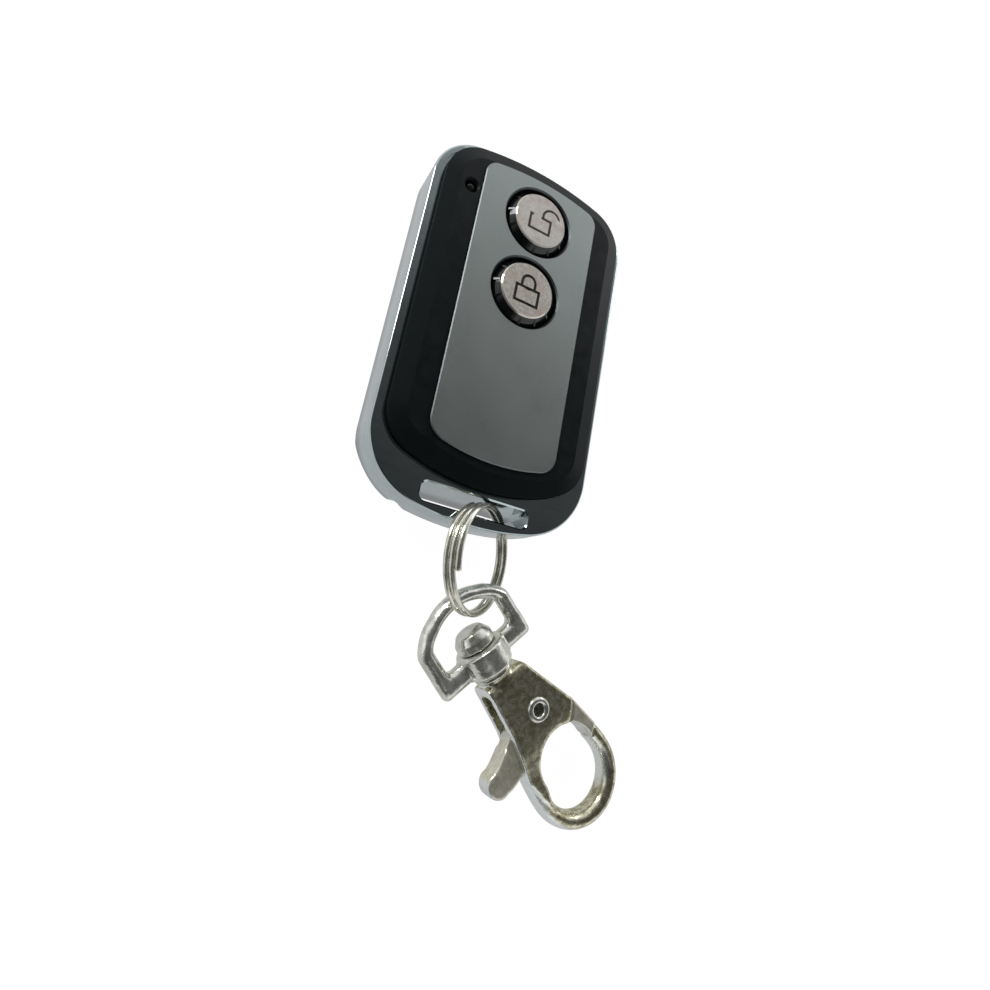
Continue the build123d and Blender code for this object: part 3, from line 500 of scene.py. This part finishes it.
def satin_plate():
    """Bead-blasted sheet with darker, rougher cut edges."""
    f = Finish("satin_sheet", 1.0)
    flat = f.facing((0, 0, 1), 0.93, 0.985)
    speck = f.grain(0.12, 2.0, 0.65)
    cloud = f.grain(6.0)
    satin = f.blend(speck, (0.51, 0.57, 0.56), (0.60, 0.655, 0.64))
    f.put("Base Color", f.blend(flat, (0.17, 0.185, 0.19), satin))
    edge_roughness = 0.42
    rough = f.plus(f.span(speck, 0.3, 0.7, 0.28, 0.40), f.span(cloud, 0.3, 0.7, -0.02, 0.02))
    f.put("Roughness", f.plus(f.times(flat, f.plus(rough, -edge_roughness)), edge_roughness))
    f.relief(f.times(speck, flat), 0.008, 0.3)
    f.wear("face_plate")


def open_padlock(f):
    """1 on the lines of the open padlock mark: a box outline with a gap, and an arc."""
    x, y = f.plan_from(UNLOCK_Y)

    def outside(value, middle, half):
        return f.plus(f.maths("ABSOLUTE", f.plus(value, -middle)), -half)

    def within(value, low, high):
        past_low = f.span(value, low - 0.02, low + 0.02, 0, 1)
        return f.times(past_low, f.span(value, high - 0.02, high + 0.02, 1, 0))

    half_line = 0.19
    edge = f.most(outside(x, -0.10, 1.66), outside(y, -0.72, 1.13))
    gap = f.times(within(x, -1.35, -0.05), f.span(y, -0.02, 0.02, 0, 1))
    box = f.times(within(edge, -half_line, half_line), f.turned_down(gap))
    reach = f.length(f.plus(x, -1.55), f.plus(y, -0.90))
    cut_off = f.times(f.span(x, 1.6, 1.64, 0, 1), f.span(y, 1.2, 1.5, 1, 0))
    bow = f.times(within(reach, 1.17, 1.53), f.times(f.span(y, 0.50, 0.54, 0, 1), f.turned_down(cut_off)))
    on_face = f.span(f.height(), 10.98 * MM, 11.02 * MM, 0, 1)
    return f.times(f.most(box, bow), on_face)


def cut_padlock(f, reach):
    """1 on the floor of the padlock mark that is cut in the disc."""
    level = f.height()
    floor = f.times(f.span(level, 10.85 * MM, 10.88 * MM, 0, 1), f.span(level, 11.00 * MM, 11.02 * MM, 1, 0))
    return f.times(floor, f.span(reach, 3.70, 3.72, 1, 0))


def button_metal(node, middle, light, dark, metal, cut_mark):
    """Warm plated disc with cloudy pebbling, a dark filled mark, and a glossy black flank whose black is a
    painted dark reflection of the gap round the button; middle is its y.
    """
    f = Finish(node + "_plating")
    up = f.facing((0, 0, 1), 0.90, 0.985)
    pebble = f.grain(0.36, 3.0, 0.65)
    cloud = f.grain(1.7, 3.0, 0.6, warp=0.5)
    plated = f.blend(f.span(pebble, 0.3, 0.7, 0, 1), dark, light)
    tint = f.blend(pebble, (0.66, 0.54, 0.48), (0.94, 0.80, 0.72))
    tinted = f.blend(f.span(cloud, 0.42, 0.66, 0, 0.8), plated, tint)
    bright = f.blend(up, (0.70, 0.68, 0.62), tinted)
    reach = f.length(*f.plan_from(middle))
    # painted reflection: the flank is coloured glossy black, standing for the dark gap that the plated skirt
    # reflects
    flank_with_painted_reflection = f.span(reach, 4.10, 4.14, 0, 1)
    mark = cut_padlock(f, reach) if cut_mark else open_padlock(f)
    mark_and_painted_flank = f.most(mark, flank_with_painted_reflection)
    # the mark's dark fill is its own colour; the flank's near-black is the painted dark reflection
    paint = f.blend(flank_with_painted_reflection, (0.05, 0.042, 0.038), (0.006, 0.007, 0.008))
    f.put("Base Color", f.blend(mark_and_painted_flank, bright, paint))
    f.put("Metallic", f.span(mark_and_painted_flank, 0, 1, metal, 0.0))
    f.put("Roughness", f.plus(f.times(up, f.span(pebble, 0.3, 0.7, 0.26, 0.42)), 0.08))
    ground = f.times(f.times(pebble, up), f.turned_down(flank_with_painted_reflection))
    f.relief(ground if cut_mark else f.plus(ground, f.times(mark, -2.0)), 0.04, 0.5)
    f.wear(node if cut_mark else "level_" + node)


def nickel(name, light, dark, gloss, blotch, pit, metal=1.0, painted_light_side=None, sway=6.0):
    """Plated casting or wire: blotches of two tones, uneven gloss, fine pits and a slow waviness.

    gloss is the roughness of its smooth and its rough blotches; the side direction, when given, marks the faces
    that get a painted pale reflection."""
    f = Finish(name)
    cloud = f.grain(blotch, 4.0, 0.6, warp=0.4)
    fine = f.grain(0.22, 3.0, 0.65)
    wave = f.grain(1.1)
    stained = f.blend(f.span(cloud, 0.40, 0.60, 0, 1), light, dark)
    stained = f.blend(f.span(fine, 0.38, 0.62, 0.5, 0), stained, dark)
    if painted_light_side:
        # painted reflection: faces turned to the side direction are tinted pale bluish white
        stained = f.blend(f.facing(painted_light_side, 0.35, 0.8), stained, (0.90, 0.94, 0.94))
    f.put("Base Color", stained)
    f.put("Roughness", f.plus(f.span(cloud, 0.3, 0.7, *gloss), f.span(fine, 0.35, 0.75, 0.0, 0.05)))
    f.put("Metallic", f.span(cloud, 0.40, 0.60, metal, metal + 0.25 * (1.0 - metal)))
    f.relief(f.plus(fine, f.times(wave, sway)), pit, 0.5)
    return f


def clasp_finishes():
    # the side of the hook and lever that gets the painted pale reflection
    flank_with_painted_reflection = (-0.669, -0.743, 0.0)
    nickel("bright_wire_plating", (0.95, 0.94, 0.86), (0.66, 0.65, 0.56), (0.07, 0.15), 1.6, 0.005,
           metal=0.70).wear("wound_split_ring")
    nickel("cast_nickel_plating", (0.95, 0.96, 0.92), (0.66, 0.67, 0.60), (0.06, 0.13), 1.6, 0.012,
           metal=0.70, sway=13.0).wear("cast_d_ring")
    nickel("hook_nickel_plating", (0.88, 0.85, 0.67), (0.38, 0.36, 0.23), (0.10, 0.30), 0.9, 0.014,
           metal=0.84, painted_light_side=flank_with_painted_reflection, sway=8.0).wear("cast_hook")
    nickel("stem_nickel_plating", (0.95, 0.96, 0.92), (0.64, 0.64, 0.57), (0.06, 0.14), 1.4, 0.012,
           metal=0.66, sway=13.0).wear("cast_hook")
    nickel("lever_nickel_plating", (0.93, 0.91, 0.78), (0.74, 0.71, 0.56), (0.12, 0.26), 1.2, 0.014,
           metal=0.40, painted_light_side=flank_with_painted_reflection).wear("cast_lever")
    nickel("rivet_plating", (0.90, 0.90, 0.86), (0.62, 0.62, 0.58), (0.10, 0.20), 0.8, 0.006,
           metal=0.80).wear("rolled_rivet")
    nickel("spring_wire_steel", (0.50, 0.50, 0.50), (0.38, 0.38, 0.39), (0.20, 0.32), 0.6, 0.004).wear(
        "gate_spring")


def moulded(name, low, high, rough, size=1.2):
    """Plain moulded resin with slight clouding and a fine grain."""
    f = Finish(name)
    cloud = f.grain(size, 3.0, 0.55)
    f.put("Base Color", f.blend(cloud, low, high))
    f.put("Roughness", f.span(cloud, 0.3, 0.7, rough - 0.06, rough + 0.06))
    f.relief(f.grain(0.1, 2.0, 0.6), 0.006, 0.3)
    return f


def drawn(name, low, high, rough, stretch):
    """Rolled or drawn metal with fine lines along one axis."""
    f = Finish(name, 1.0)
    lines = f.grain(0.12, 3.0, 0.6, stretch=stretch)
    f.put("Base Color", f.blend(lines, low, high))
    f.put("Roughness", f.span(lines, 0.3, 0.7, rough - 0.05, rough + 0.08))
    f.relief(lines, 0.006, 0.3)
    return f


def lacquered_board():
    """Green lacquer over laminate, with paler copper areas under it."""
    f = Finish("green_board_lacquer")
    tracks = f.span(f.cells(1.7), 0.30, 0.34, 0, 1)
    weave = f.grain(0.35)
    ground = f.blend(weave, (0.016, 0.13, 0.05), (0.024, 0.17, 0.07))
    f.put("Base Color", f.blend(tracks, ground, (0.04, 0.24, 0.10)))
    f.put("Roughness", f.span(weave, 0.3, 0.7, 0.22, 0.34))
    f.relief(tracks, 0.02, 0.3)
    f.wear("circuit_board")


def smoked_lamp():
    """Smoked cast resin lens with faint flow streaks."""
    f = Finish("smoked_lamp_resin")
    f.put("Base Color", (0.05, 0.05, 0.055))
    f.put("IOR", 1.52)
    f.put("Transmission Weight", 0.5)
    f.put("Specular IOR Level", 0.25)
    streak = f.grain(0.5, stretch=(1, 1, 0.3))
    f.put("Roughness", f.span(streak, 0.3, 0.7, 0.10, 0.20))
    f.relief(streak, 0.004, 0.2)
    f.wear("indicator_lamp")


def inner_finishes():
    moulded("switch_black_resin", (0.02, 0.02, 0.022), (0.04, 0.04, 0.042), 0.45).wear(
        "unlock_switch", "lock_switch")
    moulded("plunger_brown_resin", (0.42, 0.10, 0.05), (0.52, 0.14, 0.07), 0.4).wear(
        "unlock_plunger", "lock_plunger")
    moulded("chip_black_resin", (0.03, 0.03, 0.033), (0.055, 0.055, 0.06), 0.5, 0.5).wear(
        "encoder_chip", "rf_transistor", "trimmer_capacitor", "chip_parts")
    drawn("tinned_sheet", (0.58, 0.58, 0.56), (0.70, 0.70, 0.68), 0.24, (1, 0.05, 1)).wear(
        "saw_resonator", "can_contact", "cap_contact")
    drawn("bare_copper_strip", (0.66, 0.34, 0.18), (0.80, 0.48, 0.30), 0.26, (0.05, 1, 1)).wear("antenna_loop")
    drawn("cell_can_steel", (0.62, 0.62, 0.61), (0.74, 0.74, 0.73), 0.22, (1, 0.06, 1)).wear("coin_cell")
    drawn("zinc_screw_steel", (0.34, 0.34, 0.36), (0.48, 0.48, 0.50), 0.26, (1, 1, 0.2)).wear(
        "case_screws", "board_screws")


# ---- studio ---------------------------------------------------------------

def camera():
    """A pinhole camera above the clasp's side of the fob; right, up and ahead are its own axes."""
    focal, picture, film = 620.0, 990.0, 36.0
    place = (-30.8, -44.7, 80.8)
    right, up, ahead = (0.873, 0.182, 0.452), (-0.278, 0.948, 0.154), (0.401, 0.260, -0.879)
    lens = bpy.data.cameras.new("studio_camera")
    lens.lens = film * focal / picture
    lens.sensor_width = film
    lens.clip_start = 0.001
    lens.clip_end = 20.0
    eye = in_scene("studio_camera", lens)
    axes = Matrix([Vector(axis).normalized() for axis in (right, up, np.negative(ahead))]).transposed()
    eye.matrix_world = Matrix.Translation(Vector(place) * MM) @ axes.to_quaternion().to_matrix().to_4x4()
    bpy.context.scene.camera = eye


def softbox(name, place, wide, tall, watts, tint):
    """A lit panel that looks at the fob."""
    lamp = bpy.data.lights.new(name, "AREA")
    lamp.shape = "RECTANGLE"
    lamp.size = wide
    lamp.size_y = tall
    lamp.energy = watts
    lamp.color = tint
    box = in_scene(name, lamp)
    place = Vector(place)
    box.matrix_world = Matrix.Translation(place) @ place.to_track_quat("Z", "Y").to_matrix().to_4x4()


def room_tone(sky, squeeze, axis, stops):
    """Tone of the room against the cosine from an axis, for squeezed directions; stops are (cosine, tone)."""
    pressed = sky.vector_maths("MULTIPLY", sky.add("TexCoord").outputs["Generated"], squeeze)["Vector"]
    unit = sky.vector_maths("NORMALIZE", pressed)["Vector"]
    cosine = sky.vector_maths("DOT_PRODUCT", unit, Vector(axis).normalized())["Value"]
    ramp = sky.add("ValToRGB")
    ramp.color_ramp.interpolation = "EASE"
    marks = ramp.color_ramp.elements
    marks[0].position, marks[1].position = 0.0, 1.0
    marks[0].color = (stops[0][1],) * 3 + (1,)
    marks[1].color = (stops[-1][1],) * 3 + (1,)
    for stop, tone in stops[1:-1]:
        marks.new(stop * 0.5 + 0.5).color = (tone, tone, tone, 1)
    sky.feed(ramp.inputs["Fac"], sky.maths("MULTIPLY_ADD", cosine, 0.5, 0.5))
    return ramp.outputs["Color"]


def surroundings():
    """A white room, dark overhead and where the viewer stands; the camera itself sees it plain white."""
    world = bpy.data.worlds.new("white_room")
    bpy.context.scene.world = world
    sky = Shading(world)
    overhead = room_tone(sky, (0.45, 1.0, 1.0), (0.0, 0.0, 1.0),
                         ((-1, 1), (0.40, 1), (0.55, 0.80), (0.70, 0.44), (0.76, 0.28), (0.82, 0.15),
                          (0.88, 0.08), (1, 0.05)))
    viewer = room_tone(sky, (1.0, 1.0, 1.0), (-0.46, -0.68, 0.40),
                       ((-1, 1), (0.76, 1), (0.86, 0.30), (0.93, 0.06), (1, 0.05)))
    both = sky.blend(1.0, overhead, viewer, "MULTIPLY")
    to_camera = sky.add("LightPath").outputs["Is Camera Ray"]
    room = sky.add("Background")
    sky.feed(room.inputs["Color"], sky.blend(to_camera, both, (1, 1, 1)))
    sky.feed(sky.add("OutputWorld").inputs["Surface"], room.outputs["Background"])


def pale_floor():
    """A flat square of table; to the camera it is mostly plain white with a soft shadow."""
    half, level = 1.5, -0.00003
    mesh = bpy.data.meshes.new("table_top")
    corners = [(-half, -half, level), (half, -half, level), (half, half, level), (-half, half, level)]
    mesh.from_pydata(corners, [], [(0, 1, 2, 3)])
    table = in_scene("table_top", mesh)
    material = bpy.data.materials.new("pale_table")
    cover = Shading(material)
    paint = cover.add("BsdfDiffuse")
    cover.feed(paint.inputs["Color"], (0.58, 0.59, 0.60))
    glow = cover.add("Emission")
    cover.feed(glow.inputs["Strength"], 1.22)
    rays = cover.add("LightPath").outputs
    to_camera = cover.most(rays["Is Camera Ray"], rays["Is Transmission Ray"])
    share = cover.maths("MULTIPLY_ADD", rays["Is Glossy Ray"], 0.4, cover.times(to_camera, 0.8))
    cover.feed(cover.add("OutputMaterial").inputs["Surface"],
               cover.mixed_shader(share, paint.outputs["BSDF"], glow.outputs["Emission"]))
    mesh.materials.append(material)


def studio():
    camera()
    surroundings()
    pale_floor()
    softbox("left_back_softbox", (-0.24, 0.18, 0.11), 0.12, 0.10, 0.34, (1.0, 0.99, 0.97))
    softbox("right_back_softbox", (0.22, 0.20, 0.10), 0.10, 0.08, 0.08, (0.97, 0.99, 1.0))


# ---- making ---------------------------------------------------------------

wound_ring()
cast_dee()
cast_hook()
cast_lever()
hollow_rivet()
deep_shell()
plain_button()
chromed_shell()
black_front()
satin_plate()
# both buttons have one plating: the lock button's darker colours are painted shade, for the dimmer reflection
# it shows beside the unlock button
button_metal("unlock_button", UNLOCK_Y, (1.0, 0.99, 0.96), (0.84, 0.80, 0.74), 0.20, False)
button_metal("lock_button", LOCK_Y, (0.98, 0.96, 0.90), (0.60, 0.57, 0.50), 0.72, True)
clasp_finishes()
lacquered_board()
smoked_lamp()
inner_finishes()
studio()
bpy.context.scene.view_settings.view_transform = "Standard"
